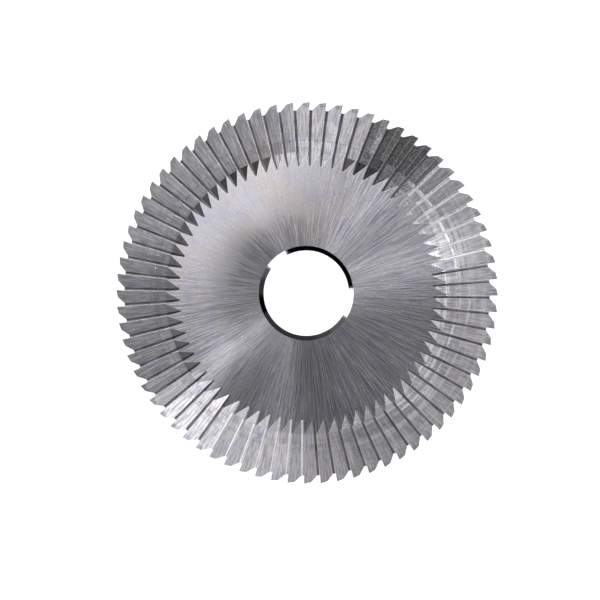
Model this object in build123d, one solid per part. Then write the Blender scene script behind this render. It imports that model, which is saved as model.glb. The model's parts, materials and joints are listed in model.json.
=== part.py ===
from build123d import *

import os
from math import cos, radians, sin, tan

# Double-angle milling cutter, lying on its back face, in millimetres and degrees.
# The axis is +Z and the origin is the centre of the back face.
# The two flanks are alike about the middle plane, where they meet in a sharp rim.

# The turned blank, with what grinding the lands takes off its flanks
outer_diameter = 57.15
width = 6.35
bore_diameter = 12.7
bore_chamfer = 0.7
included_angle = 45.0
grinding_stock = 0.05

# A steeper stretch at the outer end of every cutting edge
rim_bevel_length = 0.8
rim_bevel_angle = 25.0

# The teeth, each with a cutting edge on either flank, from the face out to the rim
tooth_count = 72
first_tooth_angle = 4.2
land_relief = 6.0

# The gullet in front of each cutting edge, up to the land of the next one
rim_gullet_depth = 1.215
corner_gullet_depth = 0.42
rake_lean = 26.0
root_width = 0.18
back_slope = 22.4

# The inner end of each tooth: one slope up to a narrow land, fading out on the face
inner_back_radius = 22.75
inner_land_width = 0.08
runout_length = 2.13

# Corners of the ground flank, measured from the axis and from the middle plane
tip_radius = outer_diameter / 2
half_width = width / 2
flank_slope = tan(radians(included_angle / 2))
bevel_slope = tan(radians(rim_bevel_angle))
bevel_radius = tip_radius - rim_bevel_length
bevel_height = rim_bevel_length * bevel_slope
face_radius = bevel_radius - (half_width - bevel_height) / flank_slope

# The gullet floor is straight from the rim to the corner, then shallower on the face
pitch = 360 / tooth_count
rim_floor_radius = tip_radius - rim_gullet_depth
corner_floor_height = half_width - corner_gullet_depth
floor_slope = corner_floor_height / (rim_floor_radius - face_radius)
runout_slope = corner_gullet_depth / runout_length

# The gullet's section: clockwise distance from the cutting edge, height above the floor
rim_floor_drop = rim_gullet_depth * floor_slope
lean_ratio = tan(radians(rake_lean))
back_ratio = tan(radians(back_slope))
relief_ratio = tan(radians(land_relief))
root_start = rim_floor_drop * lean_ratio
root_end = root_start + root_width

# The grinding wheels stand higher than the teeth, and run past the ends of their work
wheel_height = 1.3 * max(rim_floor_drop, corner_gullet_depth)
overrun = 1.0


def wheel_path(outline, radius, height, slope, inner_radius, outer_radius):
    """Straight path of a wheel over the flank whose cutting edge lies along +X.

    The outline holds clockwise distances and heights, measured from a line that
    passes the given radius at the given height and climbs inward along the slope.
    """
    start_height = height + (radius - outer_radius) * slope
    section = Plane(origin=(outer_radius, 0, start_height), x_dir=(0, -1, 0), z_dir=(-1, 0, 0))
    inward = Vector(-1, 0, slope)
    distance = (outer_radius - inner_radius) * inward.length
    return extrude(section * make_face(Polyline(*outline, close=True)), distance, inward.normalized())


def groove_outline(ratio):
    """Rake face, flat root and a back that rises by a ratio, open at the top."""
    return [
        (root_start, 0),
        (root_end, 0),
        (root_end + wheel_height / ratio, wheel_height),
        (root_start - wheel_height * lean_ratio, wheel_height),
    ]


def corner_back_ratio(slope):
    """Rise of a back that starts at the root and meets the land of the next corner."""
    next_corner = face_radius * sin(radians(pitch)) - inner_land_width
    corner_setback = face_radius * (1 - cos(radians(pitch)))
    rise = corner_gullet_depth - inner_land_width * relief_ratio - corner_setback * slope
    return rise / (next_corner - root_end)


def gullet():
    """Groove along the flank, deepest at the rim."""
    return wheel_path(
        groove_outline(back_ratio), rim_floor_radius, 0, floor_slope,
        face_radius - overrun, tip_radius + overrun,
    )


def runout():
    """Groove that climbs from the corner of the blank to its flat face."""
    return wheel_path(
        groove_outline(corner_back_ratio(runout_slope)), face_radius, corner_floor_height, runout_slope,
        face_radius - runout_length - overrun, face_radius + overrun,
    )


def inner_back():
    """Lower back behind the inner end of the cutting edge."""
    ratio = corner_back_ratio(floor_slope)
    outline = [(root_end, 0), (root_end + wheel_height / ratio, wheel_height), (root_end, wheel_height)]
    return wheel_path(
        outline, face_radius, corner_floor_height, floor_slope,
        face_radius - overrun, inner_back_radius,
    )


def land_outline():
    """Relieved land that falls away behind the cutting edge."""
    clear = root_start / 2
    reach = 0.6 * tip_radius * radians(pitch)
    return [
        (clear, clear * relief_ratio),
        (-reach, -reach * relief_ratio),
        (-reach, wheel_height),
        (clear, wheel_height),
    ]


def land():
    """Relief behind the long straight cutting edge."""
    return wheel_path(
        land_outline(), bevel_radius, bevel_height, flank_slope,
        face_radius - overrun, bevel_radius,
    )


def rim_bevel():
    """Relief behind the steeper end of the cutting edge."""
    return wheel_path(
        land_outline(), bevel_radius, bevel_height, bevel_slope,
        bevel_radius, tip_radius + overrun,
    )


def blank():
    """Turned disc with a chamfered bore and two conical flanks, proud by the stock."""
    bore_radius = bore_diameter / 2
    half_profile = Polyline(
        (bore_radius, 0),
        (bore_radius, half_width - bore_chamfer),
        (bore_radius + bore_chamfer, half_width),
        (face_radius + grinding_stock, half_width),
        (bevel_radius + grinding_stock, bevel_height),
        (tip_radius + grinding_stock, 0),
        close=True,
    )
    half = revolve(Plane.XZ * make_face(half_profile), Axis.Z)
    return half + mirror(half, about=Plane.XY)


def cutter():
    """The blank with every tooth ground on both flanks, lifted onto its back face."""
    front_tool = gullet() + runout() + inner_back() + land() + rim_bevel()
    back_tool = mirror(front_tool, about=Plane.XY)
    teeth = PolarLocations(0, tooth_count)
    ground = blank() - teeth * front_tool - teeth * back_tool
    return Pos(0, 0, half_width) * Rot(0, 0, first_tooth_angle) * ground


os.makedirs("parts", exist_ok=True)
export_step(cutter(), "parts/cutter.step")
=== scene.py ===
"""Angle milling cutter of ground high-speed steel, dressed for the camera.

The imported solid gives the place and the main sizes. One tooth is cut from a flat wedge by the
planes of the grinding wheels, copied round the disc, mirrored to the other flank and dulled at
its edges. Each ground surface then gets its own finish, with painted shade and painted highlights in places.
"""

import json
import logging
import math
from dataclasses import dataclass
from enum import IntEnum

import bmesh
import bpy
from mathutils import Matrix, Vector

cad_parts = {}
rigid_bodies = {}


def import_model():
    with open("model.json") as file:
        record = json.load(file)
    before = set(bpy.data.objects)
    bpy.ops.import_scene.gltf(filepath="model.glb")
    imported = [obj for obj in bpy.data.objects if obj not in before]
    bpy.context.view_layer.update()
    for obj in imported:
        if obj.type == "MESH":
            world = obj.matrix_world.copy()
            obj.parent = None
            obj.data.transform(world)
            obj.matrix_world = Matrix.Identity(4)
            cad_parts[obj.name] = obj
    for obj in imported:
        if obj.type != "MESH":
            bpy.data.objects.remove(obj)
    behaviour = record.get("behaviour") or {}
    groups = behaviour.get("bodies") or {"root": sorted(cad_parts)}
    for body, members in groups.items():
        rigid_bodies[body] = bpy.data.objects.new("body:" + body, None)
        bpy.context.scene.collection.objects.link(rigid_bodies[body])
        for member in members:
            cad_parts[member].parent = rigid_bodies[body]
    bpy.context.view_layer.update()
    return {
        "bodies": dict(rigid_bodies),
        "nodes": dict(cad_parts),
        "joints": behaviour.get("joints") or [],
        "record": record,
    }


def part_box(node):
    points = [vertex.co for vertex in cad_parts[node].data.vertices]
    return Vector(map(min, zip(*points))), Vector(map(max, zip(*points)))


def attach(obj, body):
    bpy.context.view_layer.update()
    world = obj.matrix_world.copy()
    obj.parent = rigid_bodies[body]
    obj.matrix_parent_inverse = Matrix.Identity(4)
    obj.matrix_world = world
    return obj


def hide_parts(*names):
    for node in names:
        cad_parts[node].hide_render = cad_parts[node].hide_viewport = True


LOG = logging.getLogger("cutter")
MM = 0.001

# Distances in millimetres at which two corners are joined, and at which a cut takes a corner that is there
MERGE_DISTANCE = 0.002
CUT_DISTANCE = 1e-5

Colour = tuple[float, float, float, float]
Value = float | tuple[float, ...] | bpy.types.NodeSocket


class Surface(IntEnum):
    """Ground surfaces of the cutter, in the order of its material slots."""

    FACE = 0
    BACK = 1
    LAND = 2
    RAKE = 3
    ROOT = 4
    RUNOUT = 5
    BORE = 6
    EDGE = 7


# Geometry of the ground teeth


@dataclass(frozen=True)
class WheelPlane:
    """Plane that a wheel leaves, in the frame of one tooth, in millimetres.

    Attributes:
        surface: Ground surface that the plane becomes.
        level: Height over the middle plane on the axis of the cutter.
        along: Rise for each millimetre outwards along the cutting edge.
        across: Rise for each millimetre clockwise from the cutting edge.
        turn: Angle of the tooth's frame, in degrees.
    """

    surface: Surface
    level: float
    along: float
    across: float
    turn: float = 0.0

    def slopes(self) -> Vector:
        """Rise for each millimetre along X and Y of the sector.

        Returns:
            The two rises.
        """
        angle = math.radians(self.turn)
        outwards = Vector((math.cos(angle), math.sin(angle)))
        clockwise = Vector((math.sin(angle), -math.cos(angle)))
        return outwards * self.along + clockwise * self.across

    def height(self, place: Vector) -> float:
        """Height of the plane over the middle plane at a place in the sector."""
        return self.level + self.slopes().dot(place.xy)


@dataclass
class ToothSector:
    """One pitch of the front flank, from a cutting edge clockwise to the next one.

    Sizes are in millimetres and degrees, and heights are over the middle plane.

    Attributes:
        tip_radius: Radius of the tooth tips.
        half_width: Height of the flat face.
        mouth_radius: Radius at which the face meets the chamfer of the bore.
        tooth_count: Number of teeth.
        included_angle: Angle between the two flanks.
        rim_bevel_length: Radial length of the steeper stretch at the rim.
        rim_bevel_angle: Angle of that stretch from the middle plane.
        land_relief: Angle by which a land falls away behind its cutting edge.
        rim_gullet_depth: Depth of the gullet at the rim, inwards.
        corner_gullet_depth: Depth of the gullet at the corner of the face.
        rake_lean: Angle by which the rake face leans under the cutting edge.
        root_width: Width of the flat root.
        back_slope: Angle by which the back rises, clockwise.
        inner_back_radius: Radius inside which the back is ground lower.
        inner_land_width: Width of the land at the corner of the face.
        runout_length: Radial length of the run-out on the face.
        step_slope: Angle of the little wall between the back and the lower one.
        land_reach: How far behind its cutting edge a land's wheel works.
        overrun: How far the wedge reaches beyond the rim.
        mouth_steps: Straight pieces of the bore in one pitch.
        flat_angle: Angle under which two cells count as one plane.
    """

    tip_radius: float
    half_width: float
    mouth_radius: float
    tooth_count: int = 72
    included_angle: float = 45.0
    rim_bevel_length: float = 0.8
    rim_bevel_angle: float = 25.0
    land_relief: float = 6.0
    rim_gullet_depth: float = 1.215
    corner_gullet_depth: float = 0.42
    rake_lean: float = 26.0
    root_width: float = 0.18
    back_slope: float = 22.4
    inner_back_radius: float = 22.75
    inner_land_width: float = 0.08
    runout_length: float = 2.13
    step_slope: float = 78.0
    land_reach: float = 1.5
    overrun: float = 1.0
    mouth_steps: int = 2
    flat_angle: float = 0.2

    def __post_init__(self) -> None:
        """Work out the wheel planes from the sizes."""
        self.pitch = 360 / self.tooth_count
        self.flank = math.tan(math.radians(self.included_angle / 2))
        self.bevel = math.tan(math.radians(self.rim_bevel_angle))
        self.relief = math.tan(math.radians(self.land_relief))
        self.bevel_radius = self.tip_radius - self.rim_bevel_length
        self.bevel_height = self.rim_bevel_length * self.bevel
        self.face_radius = self.bevel_radius - (self.half_width - self.bevel_height) / self.flank
        self.corner_floor = self.half_width - self.corner_gullet_depth
        rim_floor = self.tip_radius - self.rim_gullet_depth
        self.floor_slope = self.corner_floor / (rim_floor - self.face_radius)
        self.lean = math.tan(math.radians(self.rake_lean))
        self.root_start = self.rim_gullet_depth * self.floor_slope * self.lean
        self.root_end = self.root_start + self.root_width
        self.planes = self.wheel_planes()
        self.tools = [
            ("face",),
            ("root", "back", "rake"),
            ("root", "inner back", "rake", "step"),
            ("runout root", "runout back", "runout rake"),
            ("land",),
            ("rim bevel",),
            ("next land",),
            ("next rim bevel",),
        ]

    def corner_ratio(self, slope: float) -> float:
        """Rise of a back that starts at the root and meets the land of the next corner.

        Args:
            slope: Rise of the gullet floor for each millimetre inwards.

        Returns:
            Rise of the back for each millimetre clockwise.
        """
        angle = math.radians(self.pitch)
        next_corner = self.face_radius * math.sin(angle) - self.inner_land_width
        setback = self.face_radius * (1 - math.cos(angle))
        rise = self.corner_gullet_depth - self.inner_land_width * self.relief - setback * slope
        return rise / (next_corner - self.root_end)

    def wheel_planes(self) -> dict[str, WheelPlane]:
        """All the planes that bound one pitch.

        Returns:
            The planes by name.
        """
        floor = self.corner_floor + self.face_radius * self.floor_slope
        rim_ratio = math.tan(math.radians(self.back_slope))
        inner_ratio = self.corner_ratio(self.floor_slope)
        climb = self.corner_gullet_depth / self.runout_length
        climb_ratio = self.corner_ratio(climb)
        climb_floor = self.corner_floor + self.face_radius * climb
        step = math.tan(math.radians(self.step_slope))
        step_foot = floor - self.inner_back_radius * (self.floor_slope + step) - self.root_end * inner_ratio
        rake = -1 / self.lean
        land_level = self.bevel_height + self.bevel_radius * self.flank
        bevel_level = self.bevel_height + self.bevel_radius * self.bevel
        planes = {
            "face": WheelPlane(Surface.FACE, self.half_width, 0.0, 0.0),
            "root": WheelPlane(Surface.ROOT, floor, -self.floor_slope, 0.0),
            "back": WheelPlane(
                Surface.BACK, floor - self.root_end * rim_ratio, -self.floor_slope, rim_ratio
            ),
            "rake": WheelPlane(
                Surface.RAKE, self.half_width + self.face_radius * self.flank, -self.flank, rake
            ),
            "inner back": WheelPlane(
                Surface.BACK, floor - self.root_end * inner_ratio, -self.floor_slope, inner_ratio
            ),
            # The step wall takes the root's finish, and so its painted shade
            "step": WheelPlane(Surface.ROOT, step_foot, step, inner_ratio),
            "runout root": WheelPlane(Surface.ROOT, climb_floor, -climb, 0.0),
            "runout back": WheelPlane(
                Surface.RUNOUT, climb_floor - self.root_end * climb_ratio, -climb, climb_ratio
            ),
            "runout rake": WheelPlane(
                Surface.RAKE, self.half_width + self.face_radius * climb, -climb, rake
            ),
        }
        for name, turn in (("", 0.0), ("next ", -self.pitch)):
            planes[name + "land"] = WheelPlane(Surface.LAND, land_level, -self.flank, self.relief, turn)
            planes[name + "rim bevel"] = WheelPlane(Surface.LAND, bevel_level, -self.bevel, self.relief, turn)
        return planes

    def seams(self) -> list[tuple[str, str]]:
        """Pairs of planes that meet in an edge of the tooth.

        Returns:
            The names of each pair.
        """
        beside = {
            "root": ("rake", "back", "runout root"),
            "next land": ("back", "step", "inner back", "runout back", "face", "next rim bevel"),
            "next rim bevel": ("back",),
            "step": ("back", "inner back"),
            "runout back": ("inner back", "runout root", "face"),
            "runout rake": ("rake", "runout root", "face"),
            "runout root": ("face",),
            "land": ("rake", "face", "rim bevel"),
            "rim bevel": ("rake",),
        }
        return [(first, second) for first, others in beside.items() for second in others]

    def reaches(self, plane: WheelPlane, place: Vector) -> bool:
        """Whether a wheel reaches a place, since no land runs back to the tooth behind it.

        Args:
            plane: Plane that the wheel leaves.
            place: Point of the sector.

        Returns:
            True where it does.
        """
        angle = math.radians(plane.turn)
        behind = place.y * math.cos(angle) - place.x * math.sin(angle)
        return plane.turn == 0.0 or behind < self.land_reach

    def ground(self, place: Vector) -> tuple[float, Surface]:
        """Height and surface that the wheels leave at a place.

        Args:
            place: Point of the sector.

        Returns:
            Height over the middle plane, and the surface there.
        """
        cuts = []
        for tool in self.tools:
            planes = [self.planes[name] for name in tool]
            if self.reaches(planes[0], place):
                cuts.append(max((plane.height(place), plane.surface) for plane in planes))
        return min(cuts)

    def wedge(self) -> bmesh.types.BMesh:
        """Flat wedge from the mouth of the bore to beyond the rim.

        Returns:
            Its mesh, with one face.
        """
        work = bmesh.new()
        outer = self.tip_radius + self.overrun
        turns = [step / self.mouth_steps for step in range(self.mouth_steps + 1)]
        angles = [-math.radians(self.pitch * turn) for turn in turns]
        inner = [Vector((math.cos(a), math.sin(a), 0.0)) * self.mouth_radius for a in angles]
        rim = [Vector((math.cos(a), math.sin(a), 0.0)) * outer for a in (angles[-1], angles[0])]
        bmesh.ops.contextual_create(work, geom=[work.verts.new(place) for place in inner + rim])
        return work

    def score(self, work: bmesh.types.BMesh) -> None:
        """Cut the wedge along every line where two planes of the tooth meet.

        Args:
            work: Mesh of the flat wedge.
        """
        for names in self.seams():
            first, second = (self.planes[name] for name in names)
            slopes = first.slopes() - second.slopes()
            foot = slopes * (second.level - first.level) / slopes.length_squared
            bmesh.ops.bisect_plane(
                work, geom=work.verts[:] + work.edges[:] + work.faces[:], dist=CUT_DISTANCE,
                plane_co=foot.to_3d(), plane_no=slopes.to_3d(),
            )

    def build(self) -> bmesh.types.BMesh:
        """One finished sector of the front half, down to the middle plane.

        Returns:
            Its mesh in millimetres, with a material index on every face.
        """
        work = self.wedge()
        self.score(work)
        for part in work.faces:
            part.material_index = self.ground(part.calc_center_median())[1]
        for corner in work.verts:
            corner.co.z = self.ground(corner.co)[0]
        bmesh.ops.bisect_plane(
            work, geom=work.verts[:] + work.edges[:] + work.faces[:], dist=CUT_DISTANCE,
            plane_co=(0, 0, 0), plane_no=(0, 0, -1), clear_outer=True,
        )
        bmesh.ops.remove_doubles(work, verts=work.verts[:], dist=MERGE_DISTANCE)
        self.tidy(work, work.edges[:])
        return work

    def tidy(self, work: bmesh.types.BMesh, edges: list[bmesh.types.BMEdge]) -> None:
        """Join the cells that lie in one plane and belong to one surface.

        Args:
            work: Mesh that holds them.
            edges: Edges that may go.
        """
        bmesh.ops.dissolve_limit(
            work, angle_limit=math.radians(self.flat_angle), verts=work.verts[:], edges=edges,
            use_dissolve_boundaries=False, delimit={"MATERIAL"},
        )


@dataclass
class AngleCutter:
    """The whole cutter as one dulled mesh that stands for its plain solid.

    Attributes:
        node: Name of the solid in the frame.
        bore_radius: Radius of the bore, in millimetres.
        bore_chamfer: Width of the chamfer at its mouths, in millimetres.
        chamfer_depth: Height of the chamfer, in millimetres.
        edge_wear: Width of the dulled edges, in millimetres.
        sharp_angle: Angle between two surfaces above which their edge wears, in degrees.
        rim_height: Height under which an edge lies in the rim, in millimetres.
        first_tooth_angle: Angle of the first cutting edge, in degrees.
    """

    node: str
    bore_radius: float
    bore_chamfer: float = 0.7
    chamfer_depth: float = 0.62
    edge_wear: float = 0.08
    sharp_angle: float = 4.5
    rim_height: float = 0.01
    first_tooth_angle: float = 4.2

    def __post_init__(self) -> None:
        """Read the main sizes from the solid in the frame."""
        corners = bpy.data.objects[self.node].data.vertices
        low, high = (Vector(corner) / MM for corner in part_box(self.node))
        self.half_width = (high.z - low.z) / 2
        self.sector = ToothSector(
            tip_radius=max(corner.co.xy.length for corner in corners) / MM,
            half_width=self.half_width, mouth_radius=self.bore_radius + self.bore_chamfer,
        )

    def ring_of_teeth(self) -> bmesh.types.BMesh:
        """Spin the sector round the axis and join what belongs together.

        Returns:
            Mesh of the front half, still without its bore.
        """
        sector = self.sector.build()
        bmesh.ops.spin(
            sector, geom=sector.verts[:] + sector.edges[:] + sector.faces[:], use_duplicate=True,
            cent=(0, 0, 0), axis=(0, 0, 1), steps=self.sector.tooth_count - 1,
            angle=math.radians(360 - self.sector.pitch),
        )
        bmesh.ops.remove_doubles(sector, verts=sector.verts[:], dist=MERGE_DISTANCE)
        seams = [
            edge for edge in sector.edges
            if any(side.material_index != Surface.FACE for side in edge.link_faces)
        ]
        self.sector.tidy(sector, seams)
        return sector

    def add_bore(self, work: bmesh.types.BMesh) -> None:
        """Chamfer and half of the bore wall, from the mouth to the middle plane.

        Args:
            work: Mesh of the front half.
        """
        mouth = [
            edge for edge in work.edges
            if edge.is_boundary and max(v.co.xy.length for v in edge.verts) < self.sector.face_radius / 2
        ]
        for height in (self.half_width - self.chamfer_depth, 0.0):
            made = bmesh.ops.extrude_edge_only(work, edges=mouth)["geom"]
            for corner in (part for part in made if isinstance(part, bmesh.types.BMVert)):
                corner.co.xy = corner.co.xy.normalized() * self.bore_radius
                corner.co.z = height
            for side in (part for part in made if isinstance(part, bmesh.types.BMFace)):
                side.material_index = Surface.BORE
            mouth = [part for part in made if isinstance(part, bmesh.types.BMEdge)]

    def close(self, work: bmesh.types.BMesh) -> None:
        """Mirror the front half to the back and join the two.

        Args:
            work: Mesh of the front half.
        """
        bmesh.ops.mirror(
            work, geom=work.verts[:] + work.edges[:] + work.faces[:], matrix=Matrix.Identity(4),
            merge_dist=MERGE_DISTANCE / 2, axis="Z",
        )
        bmesh.ops.remove_doubles(work, verts=work.verts[:], dist=MERGE_DISTANCE)
        bmesh.ops.recalc_face_normals(work, faces=work.faces[:])

    def wears(self, edge: bmesh.types.BMEdge) -> bool:
        """Whether an edge wears: it is sharp, and doesn't lie inside a back or at the bore.

        Args:
            edge: Edge of the closed mesh.

        Returns:
            True where it does.
        """
        if not (edge.is_manifold and edge.is_convex):
            return False
        surfaces = {side.material_index for side in edge.link_faces}
        inside_back = surfaces <= {Surface.BACK, Surface.RUNOUT, Surface.ROOT}
        at_rim = all(abs(corner.co.z) < self.rim_height for corner in edge.verts)
        sharp = edge.calc_face_angle() > math.radians(self.sharp_angle)
        return sharp and (at_rim or not inside_back) and Surface.BORE not in surfaces

    def dull(self, work: bmesh.types.BMesh) -> None:
        """Dull every edge that wears a little, with its own finish.

        Args:
            work: Closed mesh of the cutter.
        """
        sharp = [edge for edge in work.edges if self.wears(edge)]
        bmesh.ops.bevel(
            work, geom=sharp, offset=self.edge_wear, offset_type="OFFSET", segments=1, profile=0.5,
            affect="EDGES", clamp_overlap=True, material=Surface.EDGE,
        )
        bmesh.ops.dissolve_degenerate(work, dist=MERGE_DISTANCE / 2, edges=work.edges[:])

    def build(self) -> bpy.types.Object:
        """Make the piece and let it stand for its solid.

        Returns:
            The piece, at the origin, with its place in its mesh.
        """
        work = self.ring_of_teeth()
        self.add_bore(work)
        self.close(work)
        open_edges = sum(not edge.is_manifold for edge in work.edges)
        LOG.info("closed: %d faces, %d open edges", len(work.faces), open_edges)
        self.dull(work)
        turn = Matrix.Rotation(math.radians(self.first_tooth_angle), 4, "Z")
        lift = Matrix.Translation((0, 0, self.half_width))
        bmesh.ops.transform(work, matrix=Matrix.Scale(MM, 4) @ lift @ turn, verts=work.verts[:])
        mesh = bpy.data.meshes.new("ground_cutter")
        work.to_mesh(mesh)
        work.free()
        piece = bpy.data.objects.new("ground_cutter", mesh)
        bpy.context.scene.collection.objects.link(piece)
        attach(piece, "root")
        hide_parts(self.node)
        return piece


# Shader nodes and finishes


class NodeSheet:
    """A node tree, with short calls that add its nodes and join them."""

    def __init__(self, tree: bpy.types.NodeTree) -> None:
        """Start on a tree, which is emptied first."""
        self.tree = tree
        tree.nodes.clear()

    def add(
        self, kind: str, inputs: dict[str | int, Value] | None = None, **settings: object
    ) -> bpy.types.Node:
        """Add a node.

        Args:
            kind: Type of the node, without the prefix ShaderNode.
            inputs: Constant or socket for each input, by its name or number.
            **settings: Options of the node.

        Returns:
            The new node.
        """
        node = self.tree.nodes.new(kind if kind.startswith("Node") else "ShaderNode" + kind)
        for name, setting in settings.items():
            setattr(node, name, setting)
        for key, value in (inputs or {}).items():
            self.feed(node.inputs[key], value)
        return node

    def feed(self, socket: bpy.types.NodeSocket, value: Value) -> None:
        """Set a socket to a constant, or join it to another socket.

        Args:
            socket: Input that gets the value.
            value: Constant or socket.
        """
        if isinstance(value, bpy.types.NodeSocket):
            self.tree.links.new(value, socket)
        else:
            socket.default_value = value

    def math(self, operation: str, *values: Value) -> bpy.types.NodeSocket:
        """Result of a Math node."""
        return self.add("Math", dict(enumerate(values)), operation=operation).outputs[0]

    def vector(self, operation: str, *values: Value) -> bpy.types.NodeSocket:
        """Vector result of a Vector Math node."""
        return self.add("VectorMath", dict(enumerate(values)), operation=operation).outputs["Vector"]

    def remap(
        self, value: Value, source: tuple[Value, Value], target: tuple[float, float], smooth: bool = False
    ) -> bpy.types.NodeSocket:
        """Value moved from one range to another, and kept inside it.

        Args:
            value: Value to move.
            source: Range that it comes from.
            target: Range that it goes to.
            smooth: Whether it starts and ends gently.

        Returns:
            The moved value.
        """
        limits = dict(enumerate((value, *source, *target)))
        curve = "SMOOTHSTEP" if smooth else "LINEAR"
        return self.add("MapRange", limits, interpolation_type=curve, clamp=True).outputs[0]

    def blend(self, factor: Value, first: Value, second: Value, mode: str = "MIX") -> bpy.types.NodeSocket:
        """Colour between two colours.

        Args:
            factor: Share of the second colour.
            first: Colour underneath.
            second: Colour on top.
            mode: How the two mix.

        Returns:
            The mixed colour.
        """
        node = self.add("Mix", data_type="RGBA", blend_type=mode)
        for key, value in ((0, factor), (6, first), (7, second)):
            self.feed(node.inputs[key], value)
        return node.outputs[2]

    def noise(
        self, place: Value, scale: Value, detail: float, roughness: float = 0.5
    ) -> bpy.types.NodeSocket:
        """Value of a 3-D noise."""
        inputs = {"Vector": place, "Scale": scale, "Detail": detail, "Roughness": roughness}
        return self.add("TexNoise", inputs, noise_dimensions="3D").outputs["Fac"]

    def group(self, tree: bpy.types.NodeTree, **inputs: Value) -> bpy.types.NodeOutputs:
        """Place a node group.

        Args:
            tree: The group.
            **inputs: Constant or socket for each input, by its name.

        Returns:
            The outputs of the group.
        """
        node = self.add("Group")
        node.node_tree = tree
        for name, value in inputs.items():
            self.feed(node.inputs[name], value)
        return node.outputs


def new_group(
    name: str, inputs: dict[str, str], outputs: dict[str, str]
) -> tuple[NodeSheet, bpy.types.NodeOutputs, bpy.types.NodeInputs]:
    """Start a node group.

    Args:
        name: Name of the group.
        inputs: Kind of each input, as Float, Vector or Color, by its name.
        outputs: Kind of each output, by its name.

    Returns:
        The sheet, the sockets to read the inputs from, and the sockets to feed the outputs to.
    """
    tree = bpy.data.node_groups.new(name, "ShaderNodeTree")
    for sockets, way in ((inputs, "INPUT"), (outputs, "OUTPUT")):
        for label, kind in sockets.items():
            tree.interface.new_socket(label, in_out=way, socket_type="NodeSocket" + kind)
    sheet = NodeSheet(tree)
    return sheet, sheet.add("NodeGroupInput").outputs, sheet.add("NodeGroupOutput").inputs


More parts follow.
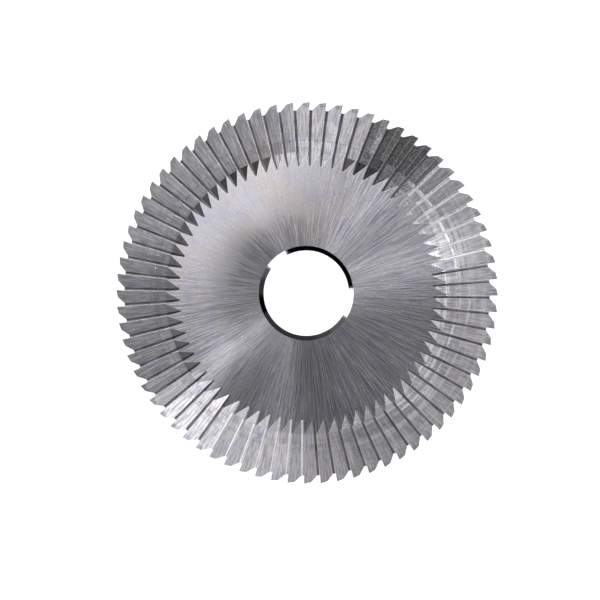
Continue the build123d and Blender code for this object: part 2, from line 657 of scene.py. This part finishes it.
@dataclass
class Effects:
    """Node groups that the finishes share.

    Attributes:
        tooth_count: Number of teeth.
        first_tooth_angle: Angle of the first cutting edge, in degrees.
        bands_around: Noise cells of the chatter round the axis for each radian.
        bands_outwards: Noise cells of the chatter for each millimetre outwards.
        fading_radii: Radii in millimetres between which the bands fade outwards.
        outer_bands: Share of the bands that is left outside them.
        bright_bands: Noise values at which a bright band, which is painted highlight, begins and is full.
        dull_bands: Noise values at which a dull band begins and is full.
    """

    tooth_count: int
    first_tooth_angle: float
    bands_around: float = 2.5
    bands_outwards: float = 1.7
    fading_radii: tuple[float, float] = (22.6, 25.5)
    outer_bands: float = 0.25
    bright_bands: tuple[float, float] = (0.53, 0.62)
    dull_bands: tuple[float, float] = (0.46, 0.38)

    def __post_init__(self) -> None:
        """Build every group once."""
        self.place = self.tooth_place()
        self.lines = self.grinding_lines()
        self.clouds = self.stain_clouds()
        self.chatter = self.wheel_chatter()
        self.sector = self.worn_sector()

    def tooth_place(self) -> bpy.types.NodeTree:
        """Where a point is on the cutter, in millimetres, and a random value for its tooth.

        Returns:
            The group.
        """
        outputs = {"Place": "Vector", "Heading": "Vector", "Radius": "Float", "Tooth": "Float"}
        sheet, _, out = new_group("Tooth Place", {}, outputs)
        place = sheet.add("TexCoord").outputs["Object"]
        place = sheet.vector("MULTIPLY", place, (1 / MM, 1 / MM, 1 / MM))
        flat = sheet.vector("MULTIPLY", place, (1.0, 1.0, 0.0))
        split = sheet.add("SeparateXYZ", {0: flat}).outputs
        angle = sheet.math("DEGREES", sheet.math("ARCTAN2", split["Y"], split["X"]))
        behind = sheet.math("SUBTRACT", self.first_tooth_angle, angle)
        turns = sheet.math("FLOOR", sheet.math("DIVIDE", behind, 360 / self.tooth_count))
        number = sheet.math("FLOORED_MODULO", turns, float(self.tooth_count))
        sheet.feed(out["Place"], place)
        sheet.feed(out["Heading"], sheet.vector("NORMALIZE", flat))
        radius = sheet.add("VectorMath", {0: flat}, operation="LENGTH")
        sheet.feed(out["Radius"], radius.outputs["Value"])
        tooth = sheet.add("TexWhiteNoise", {"W": number}, noise_dimensions="1D")
        sheet.feed(out["Tooth"], tooth.outputs["Value"])
        return sheet.tree

    def unrolled(
        self, sheet: NodeSheet, given: bpy.types.NodeOutputs, around: Value, outwards: Value
    ) -> bpy.types.NodeSocket:
        """Place on the cutter, laid out by its heading and its radius.

        Args:
            sheet: Node tree of the group.
            given: Sockets that hold the heading and the radius.
            around: Scale round the axis, for each radian.
            outwards: Scale for each millimetre outwards.

        Returns:
            The place, ready for a noise.
        """
        turned = sheet.add("VectorMath", {0: given["Heading"], "Scale": around}, operation="SCALE")
        height = sheet.math("MULTIPLY", given["Radius"], outwards)
        lift = sheet.add("CombineXYZ", {"Z": height})
        return sheet.vector("ADD", turned.outputs["Vector"], lift.outputs[0])

    def grinding_lines(self) -> bpy.types.NodeTree:
        """Fine lines that run outwards where Around is large, and round the axis where Outwards is.

        Returns:
            The group.
        """
        inputs = {"Heading": "Vector", "Radius": "Float", "Around": "Float", "Outwards": "Float"}
        sheet, given, out = new_group("Grinding Lines", inputs, {"Lines": "Float"})
        place = self.unrolled(sheet, given, given["Around"], given["Outwards"])
        lines = sheet.noise(place, scale=1.0, detail=3.0, roughness=0.62)
        sheet.feed(out["Lines"], sheet.remap(lines, (0.36, 0.64), (0.0, 1.0)))
        return sheet.tree

    def stain_clouds(self) -> bpy.types.NodeTree:
        """Soft patches that cover a share of the surface.

        Returns:
            The group.
        """
        inputs = {"Place": "Vector", "Scale": "Float", "Start": "Float", "End": "Float"}
        sheet, given, out = new_group("Stain Clouds", inputs, {"Mask": "Float"})
        noise = sheet.noise(given["Place"], given["Scale"], detail=4.0, roughness=0.55)
        mask = sheet.remap(noise, (given["Start"], given["End"]), (0.0, 1.0), smooth=True)
        sheet.feed(out["Mask"], mask)
        return sheet.tree

    def wheel_chatter(self) -> bpy.types.NodeTree:
        """Bands at the same radius on neighbouring teeth, which the wheel left as it shook; the bright bands
        are painted highlight.

        Returns:
            The group.
        """
        outputs = {"Height": "Float", "Bright": "Float", "Dull": "Float"}
        sheet, given, out = new_group("Wheel Chatter", {"Heading": "Vector", "Radius": "Float"}, outputs)
        place = self.unrolled(sheet, given, self.bands_around, self.bands_outwards)
        bands = sheet.noise(place, scale=1.0, detail=1.5)
        inner = sheet.remap(given["Radius"], self.fading_radii, (1.0, self.outer_bands), smooth=True)
        bright = sheet.remap(bands, self.bright_bands, (0.0, 1.0), smooth=True)
        dull = sheet.remap(bands, self.dull_bands, (0.0, 1.0), smooth=True)
        sheet.feed(out["Height"], sheet.remap(bands, (0.25, 0.75), (0.0, 1.0)))
        sheet.feed(out["Bright"], sheet.math("MULTIPLY", bright, inner))
        sheet.feed(out["Dull"], sheet.math("MULTIPLY", dull, inner))
        return sheet.tree

    def worn_sector(self) -> bpy.types.NodeTree:
        """Share of an effect that belongs to one side of the cutter, by its heading.

        Returns:
            The group.
        """
        inputs = {"Heading": "Vector", "Centre": "Vector", "Start": "Float", "End": "Float"}
        sheet, given, out = new_group("Worn Sector", inputs, {"Mask": "Float"})
        near = sheet.add("VectorMath", {0: given["Heading"], 1: given["Centre"]}, operation="DOT_PRODUCT")
        reach = (given["Start"], given["End"])
        mask = sheet.remap(near.outputs["Value"], reach, (0.0, 1.0), smooth=True)
        sheet.feed(out["Mask"], mask)
        return sheet.tree


@dataclass(frozen=True)
class Side:
    """Side of the cutter that wear, grinding or grime has marked, or where shade or a highlight is painted.

    Attributes:
        centre: Heading of its middle, as a unit vector.
        start: Cosine of the angle from the middle at which the mark begins.
        end: Cosine of the angle at which it is full.
    """

    centre: tuple[float, float, float]
    start: float
    end: float


@dataclass(frozen=True)
class Stain:
    """Cloudy patches of one tint.

    Attributes:
        scale: Noise cells for each millimetre.
        start: Value of the noise at which a patch begins.
        end: Value at which it is full.
        tint: Colour of the patch.
        strength: How strongly the patches show.
    """

    scale: float
    start: float
    end: float
    tint: Colour
    strength: float = 1.0


# Side on which the chatter bands stand out and the bright ones carry a painted highlight
CHATTER_AND_HIGHLIGHT_SIDE = Side((0.985, -0.174, 0.0), 0.3, 0.8)
RUBBED_SIDE = Side((-0.574, 0.819, 0.0), 0.3, 0.85)
SHADED_SIDE = Side((-0.99, 0.139, 0.0), 0.55, 0.96)
GRIMY_SIDE = Side((0.545, 0.839, 0.0), 0.975, 0.985)
# Sides on which the dark root gets a painted highlight
GLINT_SIDES = (Side((0.875, 0.485, 0.0), 0.94, 0.96), Side((-0.292, -0.956, 0.0), 0.94, 0.96))

DARK_STEEL = (0.2, 0.2, 0.21, 1)
# Near white, laid on as painted highlight on the root and on the bright chatter bands
HIGHLIGHT_WHITE = (0.97, 0.97, 0.98, 1)
CREAM = Stain(0.13, 0.42, 0.62, (1.05, 1.0, 0.93, 1), 0.1)
BROWN = Stain(0.5, 0.7, 0.78, (0.5, 0.4, 0.3, 1), 4.0)
BLUE = Stain(0.31, 0.5, 0.68, (0.91, 0.93, 1.02, 1))
PITS = Stain(7.5, 0.5, 0.62, DARK_STEEL)
GRIME = Stain(3.4, 0.36, 0.68, (0.12, 0.12, 0.13, 1), 0.75)


@dataclass(frozen=True)
class GroundFinish:
    """How a wheel leaves one kind of surface.

    Attributes:
        dark: Colour in the scratches.
        light: Colour between them.
        roughness: Roughness between and in the scratches.
        anisotropy: How far the lines stretch a reflection.
        around: Noise cells round the axis for each radian.
        outwards: Noise cells for each millimetre outwards.
        relief: Depth of the scratches, in millimetres.
        chatter: Height of the bands that the wheel left as it shook, in millimetres.
        speckle: Share of the light that fine pits take.
        uneven: Share of the light that the dullest tooth loses.
        rubbed: Share of the lines that wear has smoothed on one side.
        root_glint_share: Share of the painted highlight, near white, that the root gets on two sides.
    """

    dark: Colour
    light: Colour
    roughness: tuple[float, float] = (0.1, 0.17)
    anisotropy: float = 0.3
    around: float = 100.0
    outwards: float = 0.5
    relief: float = 0.0003
    chatter: float = 0.005
    speckle: float = 0.22
    uneven: float = 0.12
    rubbed: float = 0.0
    root_glint_share: float = 0.0


FLANK = GroundFinish((0.465, 0.45, 0.485, 1), (0.815, 0.795, 0.83, 1))
FINISHES = {
    Surface.FACE: GroundFinish(
        (0.27, 0.26, 0.31, 1), (0.82, 0.8, 0.86, 1), (0.24, 0.34), anisotropy=0.97, around=110.0,
        outwards=0.22, relief=0.009, chatter=0.0, speckle=0.35, uneven=0.0, rubbed=0.88,
    ),
    Surface.BACK: FLANK,
    Surface.LAND: FLANK,
    Surface.RAKE: GroundFinish(
        (0.86, 0.85, 0.86, 1), (0.94, 0.93, 0.94, 1), (0.1, 0.15), relief=0.0, chatter=0.0, speckle=0.1
    ),
    # Painted shade: the dark root colours stand for the shade at the bottom of the gullets and on the little
    # step wall, which also takes this finish
    Surface.ROOT: GroundFinish(
        (0.08, 0.077, 0.074, 1), (0.24, 0.233, 0.226, 1), (0.2, 0.26), relief=0.0, chatter=0.0,
        speckle=0.1, root_glint_share=1.0,
    ),
    Surface.RUNOUT: FLANK,
    Surface.BORE: GroundFinish(
        (0.66, 0.66, 0.67, 1), (0.76, 0.76, 0.77, 1), (0.05, 0.1), anisotropy=0.0, around=2.0,
        outwards=9.0, relief=0.0004, chatter=0.0, speckle=0.1, uneven=0.0,
    ),
    Surface.EDGE: GroundFinish(
        (0.8, 0.8, 0.81, 1), (0.95, 0.95, 0.95, 1), (0.1, 0.15), anisotropy=0.0, relief=0.0,
        chatter=0.0, speckle=0.1,
    ),
}


@dataclass
class SteelMaterial:
    """Material of one ground surface.

    Attributes:
        name: Name of the material.
        finish: How the wheel leaves the surface.
        effects: Shared node groups.
        rubbed_radii: Radii between which the rubbing of the face sets in, in millimetres.
        rubbed_lines: What is left of the lines where the face is rubbed.
        shaded_radii: Radii between which the shade round the bore fades, in millimetres.
        dull_share: Share of the colour that dull bands of chatter take.
        quiet_chatter: Share of the chatter that is left away from its side.
    """

    name: str
    finish: GroundFinish
    effects: Effects
    rubbed_radii: tuple[float, float] = (9.5, 12.5)
    rubbed_lines: Colour = (0.62, 0.62, 0.62, 1)
    shaded_radii: tuple[float, float] = (9.5, 16.5)
    dull_share: float = 0.22
    quiet_chatter: float = 0.08

    def __post_init__(self) -> None:
        """Start on an empty material and find the place on the cutter."""
        self.material = bpy.data.materials.new(self.name)
        self.material.use_nodes = True
        self.sheet = NodeSheet(self.material.node_tree)
        self.spot = self.sheet.group(self.effects.place)

    def on_side(self, side: Side) -> bpy.types.NodeSocket:
        """Mask of one side of the cutter."""
        return self.sheet.group(
            self.effects.sector, Heading=self.spot["Heading"],
            Centre=side.centre, Start=side.start, End=side.end,
        )["Mask"]

    def stained(self, stain: Stain) -> bpy.types.NodeSocket:
        """Mask of one kind of stain."""
        return self.sheet.group(
            self.effects.clouds, Place=self.spot["Place"],
            Scale=stain.scale, Start=stain.start, End=stain.end,
        )["Mask"]

    def lines(self) -> bpy.types.NodeSocket:
        """Grinding lines, faint where the face is rubbed.

        Returns:
            Value from 0 in a scratch to 1 between the scratches.
        """
        lines = self.sheet.group(
            self.effects.lines, Heading=self.spot["Heading"], Radius=self.spot["Radius"],
            Around=self.finish.around, Outwards=self.finish.outwards,
        )["Lines"]
        if not self.finish.rubbed:
            return lines
        outer = self.sheet.remap(
            self.spot["Radius"], self.rubbed_radii, (0.0, self.finish.rubbed), smooth=True
        )
        worn = self.sheet.math("MULTIPLY", self.on_side(RUBBED_SIDE), outer)
        return self.sheet.blend(worn, lines, self.rubbed_lines)

    def shade(self, colour: Value, lines: Value) -> bpy.types.NodeSocket:
        """Darken the face round the bore on one side, most of all in the lines.

        Args:
            colour: Colour of the face without the shade.
            lines: Grinding lines.

        Returns:
            The darkened colour.
        """
        inner = self.sheet.remap(self.spot["Radius"], self.shaded_radii, (1.0, 0.0), smooth=True)
        streaks = self.sheet.remap(lines, (0.2, 0.8), (1.0, 0.6))
        shaded = self.sheet.math("MULTIPLY", self.on_side(SHADED_SIDE), inner)
        return self.sheet.blend(self.sheet.math("MULTIPLY", shaded, streaks), colour, DARK_STEEL)

    def stain(self, colour: Value) -> bpy.types.NodeSocket:
        """Lay cream, brown and blue stains and fine pits over a colour, the cream fullest where it is rubbed.

        Args:
            colour: Colour of the unstained surface.

        Returns:
            The stained colour.
        """
        sheet = self.sheet
        cream_share = CREAM.strength
        if self.finish.rubbed:
            worn = self.on_side(RUBBED_SIDE)
            cream_share = sheet.math("MULTIPLY_ADD", worn, 1.0 - CREAM.strength, CREAM.strength)
        cream = sheet.math("MULTIPLY", self.stained(CREAM), cream_share)
        brown = sheet.math("MULTIPLY", self.stained(BROWN), self.finish.uneven * BROWN.strength)
        pits = sheet.math("MULTIPLY", self.stained(PITS), self.finish.speckle)
        colour = sheet.blend(cream, colour, CREAM.tint, "MULTIPLY")
        colour = sheet.blend(brown, colour, BROWN.tint, "MULTIPLY")
        colour = sheet.blend(self.stained(BLUE), colour, BLUE.tint, "MULTIPLY")
        return sheet.blend(pits, colour, PITS.tint)

    def colour(
        self, lines: Value, bands: bpy.types.NodeOutputs, chatter_and_highlight: Value
    ) -> bpy.types.NodeSocket:
        """Colour of the surface.

        Args:
            lines: Grinding lines.
            bands: Bands of chatter.
            chatter_and_highlight: Mask of the side on which the chatter and its painted highlight are strong.

        Returns:
            The colour.
        """
        sheet = self.sheet
        colour = sheet.blend(lines, self.finish.dark, self.finish.light)
        if self.finish.rubbed:
            colour = self.shade(colour, lines)
        tone = sheet.math("MULTIPLY", self.spot["Tooth"], self.finish.uneven)
        colour = sheet.blend(tone, colour, DARK_STEEL)
        if self.finish.chatter:
            # Painted highlight: the bright chatter bands get near-white colour on one side; the dull bands
            # are the marks' own darker tone
            bright = sheet.math("MULTIPLY", bands["Bright"], chatter_and_highlight)
            dull = sheet.math("MULTIPLY", bands["Dull"], self.dull_share)
            colour = sheet.blend(bright, colour, HIGHLIGHT_WHITE)
            colour = sheet.blend(dull, colour, DARK_STEEL)
        colour = self.stain(colour)
        if self.finish.chatter:
            grime = sheet.math("MULTIPLY", self.stained(GRIME), GRIME.strength)
            grime = sheet.math("MULTIPLY", self.on_side(GRIMY_SIDE), grime)
            colour = sheet.blend(grime, colour, GRIME.tint)
        if self.finish.root_glint_share:
            # Painted highlight: near-white colour on the root on two sides
            for side in GLINT_SIDES:
                glint_mask = sheet.math("MULTIPLY", self.on_side(side), self.finish.root_glint_share)
                colour = sheet.blend(glint_mask, colour, HIGHLIGHT_WHITE)
        return colour

    def height(
        self, lines: Value, bands: bpy.types.NodeOutputs, chatter_and_highlight: Value
    ) -> bpy.types.NodeSocket:
        """Height of the lines and of the chatter.

        Args:
            lines: Grinding lines.
            bands: Bands of chatter.
            chatter_and_highlight: Mask of the side on which the chatter and its painted highlight are strong.

        Returns:
            The height in millimetres.
        """
        height = self.sheet.math("MULTIPLY", lines, self.finish.relief)
        if not self.finish.chatter:
            return height
        share = self.sheet.math("MULTIPLY_ADD", chatter_and_highlight, 1.0 - self.quiet_chatter, self.quiet_chatter)
        band = self.sheet.math("MULTIPLY", bands["Height"], share)
        return self.sheet.math("MULTIPLY_ADD", band, self.finish.chatter, height)

    def build(self) -> bpy.types.Material:
        """Join the layers in a metal shader.

        Returns:
            The material.
        """
        sheet = self.sheet
        lines = self.lines()
        bands = sheet.group(
            self.effects.chatter, Heading=self.spot["Heading"], Radius=self.spot["Radius"]
        )
        chatter_and_highlight = self.on_side(CHATTER_AND_HIGHLIGHT_SIDE)
        height = self.height(lines, bands, chatter_and_highlight)
        shader = sheet.add("BsdfPrincipled", {
            "Base Color": self.colour(lines, bands, chatter_and_highlight),
            "Metallic": 1.0,
            "Roughness": sheet.remap(lines, (0.0, 1.0), self.finish.roughness[::-1]),
            "Anisotropic": self.finish.anisotropy,
            "Tangent": sheet.add("Tangent", direction_type="RADIAL", axis="Z").outputs[0],
            "Normal": sheet.add("Bump", {"Height": height, "Distance": MM, "Strength": 1.0}).outputs[0],
        })
        sheet.add("OutputMaterial", {"Surface": shader.outputs[0]})
        return self.material


# Studio and camera


# Angle in degrees by which the camera leans from straight overhead, and the direction in which it leans out
CAMERA_LEAN = 2.2
CAMERA_HEADING = 20.0


def direction(overhead: float, azimuth: float) -> Vector:
    """Unit vector at an angle from straight overhead and an angle round the axis, in degrees."""
    lean, turn = math.radians(overhead), math.radians(azimuth)
    return Vector((math.sin(lean) * math.cos(turn), math.sin(lean) * math.sin(turn), math.cos(lean)))


@dataclass(frozen=True)
class SoftBox:
    """Rectangular light over the cutter, in millimetres and degrees.

    Attributes:
        name: Name of the light.
        azimuth: Direction of the panel round the axis.
        overhead: Angle of the panel from straight overhead.
        distance: Distance of the panel from the middle of the back face.
        size: Length of the panel round the axis, and its width.
        radiance: Brightness of the panel.
    """

    name: str
    azimuth: float
    overhead: float
    distance: float
    size: tuple[float, float]
    radiance: float

    def build(self) -> bpy.types.Object:
        """Add the light, facing the cutter.

        Returns:
            The object of the light.
        """
        light = bpy.data.lights.new(self.name, "AREA")
        light.shape = "RECTANGLE"
        light.size, light.size_y = (side * MM for side in self.size)
        light.energy = self.radiance * math.pi * light.size * light.size_y
        way = direction(self.overhead, self.azimuth)
        panel = bpy.data.objects.new(self.name, light)
        facing = (-way).to_track_quat("-Z", "Y").to_matrix().to_4x4()
        panel.matrix_world = Matrix.Translation(way * self.distance * MM) @ facing
        panel.visible_camera = False
        bpy.context.scene.collection.objects.link(panel)
        return panel


@dataclass(frozen=True)
class Card:
    """Upright card in a ring round the cutter.

    Attributes:
        start: Angle of the first tooth that the card lights, in degrees.
        light: Brightness of the card.
    """

    start: float
    light: float


@dataclass(frozen=True)
class CardRing:
    """Ring of cards that one kind of ground surface reflects to the camera.

    Attributes:
        top: Angle of its upper edge from straight overhead, in degrees. It reaches down to the next ring.
        twist: How far round each card stands from the teeth that it lights, in degrees.
        cards: Cards counter-clockwise, each up to the start of the next one. A colour ramp holds 16 at most.
    """

    top: float
    twist: float
    cards: tuple[Card, ...]


# Brightness of the sky over the cards, which plain stretches of the upper rings have too
OVERHEAD_LIGHT = 0.148

LAND_CARDS = (
    Card(0, 0.58), Card(13, 0.7), Card(29, 0.48), Card(40, 0.36), Card(47, 0.13), Card(67, 0.75),
    Card(78, 0.9), Card(99, 0.47), Card(142, 0.52), Card(168, 0.38), Card(212, 0.6), Card(219, 1.45),
    Card(239, 0.72), Card(268, 0.47), Card(312, 0.52), Card(345, 0.6),
)
BACK_CARDS = (
    Card(0, 0.6), Card(13, 0.62), Card(29, 0.52), Card(42, 0.4), Card(52, 0.22), Card(57, 0.14),
    Card(72, 0.75), Card(80, 0.85), Card(99, 0.45), Card(168, 0.34), Card(219, 1.4), Card(239, 0.75),
    Card(268, 0.46), Card(285, 0.37), Card(312, 0.48), Card(345, 0.55),
)
RIM_CARDS = (
    Card(0, 0.4), Card(13, 0.35), Card(47, 0.1), Card(67, 0.7), Card(99, 0.45), Card(168, 0.36),
    Card(219, 0.95), Card(239, 0.6), Card(268, 0.46), Card(285, 0.36), Card(312, 0.45), Card(345, 0.4),
)
INNER_CARDS = (
    Card(0, 0.75), Card(9, 1.1), Card(20, 1.4), Card(30, 0.85), Card(40, 0.6), Card(51, 0.35),
    Card(61, 0.0), Card(71, 0.8), Card(80, 1.2), Card(99, 0.42), Card(168, 0.28), Card(219, 1.5),
    Card(239, 0.9), Card(262, 0.5), Card(285, 0.36), Card(310, 0.62),
)
RUNOUT_CARDS = (
    Card(0, 0.8), Card(10, 1.3), Card(28, 0.62), Card(38, 0.5), Card(57, 0.25), Card(61.5, 0.0),
    Card(78, 1.0), Card(106, 0.02), Card(130, 0.1), Card(150, 0.16), Card(204, 0.1), Card(218, 1.5),
    Card(240, 0.85), Card(249, 0.45), Card(262, 0.34), Card(308, 0.58),
)
EDGE_CARDS = (
    Card(0, 1.6), Card(12, 3.0), Card(46, 0.5), Card(68, 1.8), Card(98, 2.6), Card(163, 2.8), Card(198, 1.8),
    Card(232, 1.4), Card(270, 0.6), Card(350, 1.6),
)
MOUTH_CARDS = (
    Card(0, 2.2), Card(6, 0.0), Card(115, 2.4), Card(143, 0.11), Card(160, 0.04), Card(182, 0.0),
    Card(206, 0.04), Card(285, 0.07), Card(305, 0.13), Card(331, 2.2),
)
STRIP_CARDS = (
    Card(0, OVERHEAD_LIGHT), Card(12, 1.8), Card(43, OVERHEAD_LIGHT), Card(232, 1.8), Card(267, 0.8),
    Card(273, OVERHEAD_LIGHT),
)
PLAIN_CARDS = (Card(0, OVERHEAD_LIGHT), Card(180, OVERHEAD_LIGHT))
RINGS = (
    CardRing(20.0, 0.0, STRIP_CARDS),
    CardRing(24.0, 0.0, PLAIN_CARDS),
    CardRing(33.0, 54.0, RUNOUT_CARDS),
    CardRing(44.0, 9.5, LAND_CARDS),
    CardRing(51.6, 8.0, RIM_CARDS),
    CardRing(55.3, 32.0, INNER_CARDS),
    CardRing(60.0, 41.5, BACK_CARDS),
    CardRing(71.0, -52.5, EDGE_CARDS),
    CardRing(74.0, 180.0, MOUTH_CARDS),
)


@dataclass
class Studio:
    """Pale floor, rings of grey cards round the cutter and soft boxes over it.

    Attributes:
        floor_size: Width of the floor, in metres.
        floor_colour: Colour of the floor.
        floor_glow: Light that the floor gives by itself, which keeps it pale in every view.
        backdrop: Colour behind the floor.
        ring_edge: Half the width of the soft border between two rings, in degrees.
        card_edge: Half the width of the soft border between two cards.
        brightest: Light of the brightest card that a colour ramp holds.
        boxes: Lights over the cutter.
    """

    floor_size: float = 4.0
    floor_colour: Colour = (0.85, 0.85, 0.85, 1)
    floor_glow: float = 0.75
    backdrop: Colour = (0.9, 0.9, 0.91, 1)
    ring_edge: float = 0.5
    card_edge: float = 1.5
    brightest: float = 3.0
    boxes: tuple[SoftBox, ...] = (
        SoftBox("face_box", 122.0, 24.5, 68.0, (50.0, 33.0), 1.3),
        SoftBox("wedge_box", 294.0, 34.5, 220.0, (9.0, 12.0), 118.0),
        SoftBox("fill_box", 334.0, 34.5, 220.0, (36.0, 12.0), 15.0),
    )

    def card_light(self, sheet: NodeSheet, ring: CardRing, azimuth: Value) -> bpy.types.NodeSocket:
        """Brightness of the card of a ring that stands at an azimuth.

        Args:
            sheet: Node tree of the world.
            ring: Ring of cards.
            azimuth: Direction round the axis, in degrees.

        Returns:
            The brightness.
        """
        stops = [(0.0, ring.cards[0].light)]
        for before, after in zip(ring.cards, ring.cards[1:]):
            stops.append((after.start - self.card_edge, before.light))
            stops.append((after.start + self.card_edge, after.light))
        turned = sheet.math("SUBTRACT", azimuth, ring.twist)
        tooth = sheet.math("FRACT", sheet.math("DIVIDE", turned, 360.0))
        node = sheet.add("ValToRGB", {"Fac": tooth})
        elements = node.color_ramp.elements
        while len(elements) < len(stops):
            elements.new(1.0)
        for element, (angle, light) in zip(elements, stops, strict=True):
            element.position = angle / 360
            element.color = (light / self.brightest,) * 3 + (1.0,)
        grey = sheet.add("SeparateColor", {0: node.outputs["Color"]}).outputs[0]
        return sheet.math("MULTIPLY", grey, self.brightest)

    def build_world(self) -> None:
        """Light the cutter from rings of cards that lean with the camera and only its reflections show."""
        world = bpy.data.worlds.new("studio")
        world.use_nodes = True
        bpy.context.scene.world = world
        sheet = NodeSheet(world.node_tree)
        lean, heading = math.radians(CAMERA_LEAN), math.radians(CAMERA_HEADING)
        rotation = (-lean * math.sin(heading), lean * math.cos(heading), 0.0)
        way = sheet.add("TexCoord").outputs["Generated"]
        upright = sheet.add("Mapping", {"Vector": way, "Rotation": rotation}, vector_type="POINT").outputs[0]
        ways = sheet.add("SeparateXYZ", {0: upright}).outputs
        azimuth = sheet.math("DEGREES", sheet.math("ARCTAN2", ways["Y"], ways["X"]))
        overhead = sheet.math("DEGREES", sheet.math("ARCCOSINE", ways["Z"]))
        level = OVERHEAD_LIGHT
        for ring in RINGS:
            inside = sheet.remap(overhead, (ring.top - self.ring_edge, ring.top + self.ring_edge), (0.0, 1.0))
            change = sheet.math("SUBTRACT", self.card_light(sheet, ring, azimuth), level)
            level = sheet.math("MULTIPLY_ADD", change, inside, level)
        seen = sheet.add("LightPath").outputs["Is Camera Ray"]
        grey = sheet.add("CombineColor", {0: level, 1: level, 2: level}).outputs[0]
        shown = sheet.blend(seen, grey, self.backdrop)
        sheet.add("OutputWorld", {"Surface": sheet.add("Background", {"Color": shown}).outputs[0]})

    def build_floor(self) -> None:
        """Matt pale floor under the cutter."""
        work = bmesh.new()
        bmesh.ops.create_grid(work, x_segments=1, y_segments=1, size=self.floor_size / 2)
        mesh = bpy.data.meshes.new("floor")
        work.to_mesh(mesh)
        work.free()
        floor = bpy.data.objects.new("floor", mesh)
        bpy.context.scene.collection.objects.link(floor)
        material = bpy.data.materials.new("pale_floor")
        material.use_nodes = True
        sheet = NodeSheet(material.node_tree)
        shader = sheet.add("BsdfPrincipled", {
            "Base Color": self.floor_colour, "Roughness": 0.9,
            "Emission Color": (1, 1, 1, 1), "Emission Strength": self.floor_glow,
        })
        sheet.add("OutputMaterial", {"Surface": shader.outputs[0]})
        mesh.materials.append(material)

    def build(self) -> None:
        """Add the floor, the cards and the boxes."""
        self.build_floor()
        self.build_world()
        for box in self.boxes:
            box.build()
        bpy.context.scene.view_settings.view_transform = "Standard"


@dataclass(frozen=True)
class PhotoCamera:
    """Camera at the photograph's viewing angle, in millimetres and degrees.

    Attributes:
        height: Height of the middle plane.
        centre: Place of that plane in the middle of the picture.
        field_width: Width of the picture there.
        distance: Distance from there.
        sensor: Width of the sensor.
    """

    height: float
    centre: tuple[float, float] = (-1.025, -1.049)
    field_width: float = 89.745
    distance: float = 600.0
    sensor: float = 36.0

    def build(self) -> bpy.types.Object:
        """Add the camera and make it the scene's own.

        Returns:
            The object of the camera.
        """
        data = bpy.data.cameras.new("photo_camera")
        data.sensor_width = self.sensor
        data.lens = self.sensor * self.distance / self.field_width
        data.clip_start, data.clip_end = 0.01, 20.0
        camera = bpy.data.objects.new("photo_camera", data)
        back = direction(CAMERA_LEAN, CAMERA_HEADING)
        side = Vector((0.0, 1.0, 0.0)).cross(back).normalized()
        frame = Matrix((side, back.cross(side), back)).transposed().to_4x4()
        aim = Vector((*self.centre, self.height))
        camera.matrix_world = Matrix.Translation((aim + back * self.distance) * MM) @ frame
        bpy.context.scene.collection.objects.link(camera)
        bpy.context.scene.camera = camera
        return camera


def main() -> None:
    """Build the cutter, its finish, the studio and the camera."""
    logging.basicConfig(level=logging.INFO, format="%(name)s: %(message)s")
    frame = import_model()
    bore = next(mount for mount in frame["record"]["mounts"] if mount["name"] == "bore")
    cutter = AngleCutter("cutter", bore["dims"]["r_mm"])
    piece = cutter.build()
    effects = Effects(cutter.sector.tooth_count, cutter.first_tooth_angle)
    for surface in Surface:
        material = SteelMaterial("ground_" + surface.name.lower(), FINISHES[surface], effects).build()
        piece.data.materials.append(material)
    LOG.info("%s: %d faces", piece.name, len(piece.data.polygons))
    Studio().build()
    LOG.info("studio: %d rings of cards", len(RINGS))
    PhotoCamera(cutter.half_width).build()


if __name__ == "__main__":
    main()
